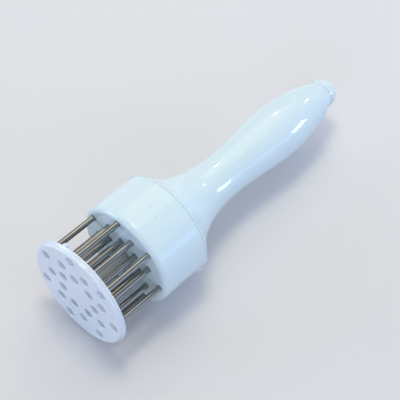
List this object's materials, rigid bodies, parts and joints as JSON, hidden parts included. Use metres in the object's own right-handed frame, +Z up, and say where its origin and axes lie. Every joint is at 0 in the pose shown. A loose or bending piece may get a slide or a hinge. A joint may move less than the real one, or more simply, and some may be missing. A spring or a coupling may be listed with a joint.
{
  "type": "needle meat tenderizer",
  "caption": "Hand meat tenderizer: steel needles in a cup-shaped head on a waisted handle, with a sprung guide plate that slides back over them.",
  "frame": {"origin": "centre of the bounding box on the ground, under the tool as it lies", "axes": "+X from the guide plate towards the end of the handle, along the ground; +Z up"},
  "size_m": [0.1892, 0.0592, 0.0592],
  "materials": {
    "handle_plastic": "high gloss moulded white",
    "cup_plastic": "gloss moulded white, faintly worn",
    "plate_plastic": "semi-gloss moulded white",
    "stem_plastic": "satin moulded white",
    "inner_plastic": "satin moulded white",
    "needle_steel": "polished drawn stainless rod",
    "spring_steel": "drawn spring wire",
    "fastener_steel": "zinc plated"
  },
  "bodies": {
    "handle": {"return_spring": "spring_steel", "spring_seat": "inner_plastic", "head_cup": "cup_plastic", "needle_retainer": "inner_plastic", "retainer_screws": "fastener_steel", "handle_shell": "handle_plastic", "end_cap": "handle_plastic", "needle_inner_1": "needle_steel", "needle_inner_2": "needle_steel", "needle_inner_3": "needle_steel", "needle_inner_4": "needle_steel", "needle_inner_5": "needle_steel", "needle_inner_6": "needle_steel", "needle_inner_7": "needle_steel", "needle_middle_1": "needle_steel", "needle_middle_2": "needle_steel", "needle_middle_3": "needle_steel", "needle_middle_4": "needle_steel", "needle_middle_5": "needle_steel", "needle_middle_6": "needle_steel", "needle_middle_7": "needle_steel", "needle_outer_1": "needle_steel", "needle_outer_2": "needle_steel", "needle_outer_3": "needle_steel", "needle_outer_4": "needle_steel", "needle_outer_5": "needle_steel", "needle_outer_6": "needle_steel", "needle_outer_7": "needle_steel"},
    "guide": {"guide_plate": "plate_plastic", "guide_stem": "stem_plastic", "stop_washer": "fastener_steel", "stem_screw": "fastener_steel"}
  },
  "joints": [
    {"name": "plate_slide", "type": "slide", "parent": "handle", "child": "guide", "axis": [0.9997, 0, -0.0248], "range_m": [0, 0.024], "stiffness_N_per_m": 400, "springref_m": -0.02, "deforming": ["return_spring"]}
  ]
}
